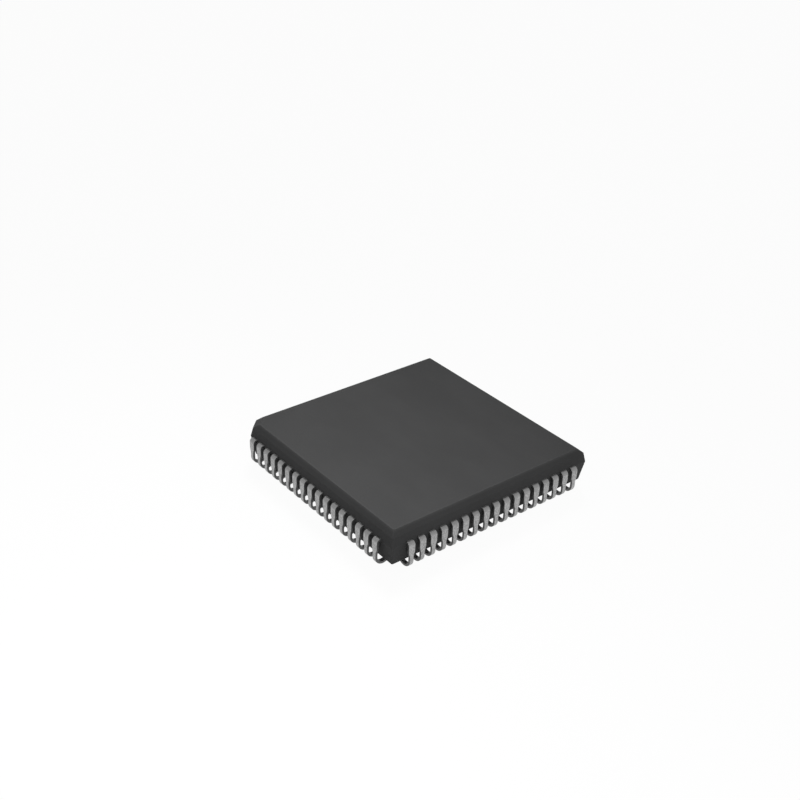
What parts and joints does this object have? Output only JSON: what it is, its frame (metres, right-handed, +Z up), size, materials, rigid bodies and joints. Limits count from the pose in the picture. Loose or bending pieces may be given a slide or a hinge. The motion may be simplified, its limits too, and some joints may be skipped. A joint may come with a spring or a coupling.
{
  "type": "plastic leaded chip carrier",
  "caption": "Square black plastic chip carrier with tinned J-bent leads on all four sides, a cut index corner, and a die, die pad and bond wires moulded in.",
  "frame": {"origin": "middle of the plane that the J bends rest on, under the centre of the body", "axes": "+Z up from the board through the top face, +X and +Y along the rows of leads, index corner at -X +Y"},
  "size_m": [0.0252, 0.0252, 0.0042],
  "materials": {
    "moulding": "matte, fine grain",
    "tinned_lead": "satin tin plating",
    "bare_copper": "satin",
    "bond_film": "matte",
    "silicon": "polished",
    "gold_wire": "bright"
  },
  "bodies": {
    "root": {"moulded_body": "moulding", "leads_front": "tinned_lead", "leads_right": "tinned_lead", "leads_back": "tinned_lead", "leads_left": "tinned_lead", "die_pad": "bare_copper", "die_bond_film": "bond_film", "silicon_die": "silicon", "bond_wires_front": "gold_wire", "bond_wires_right": "gold_wire", "bond_wires_back": "gold_wire", "bond_wires_left": "gold_wire"}
  },
  "joints": []
}
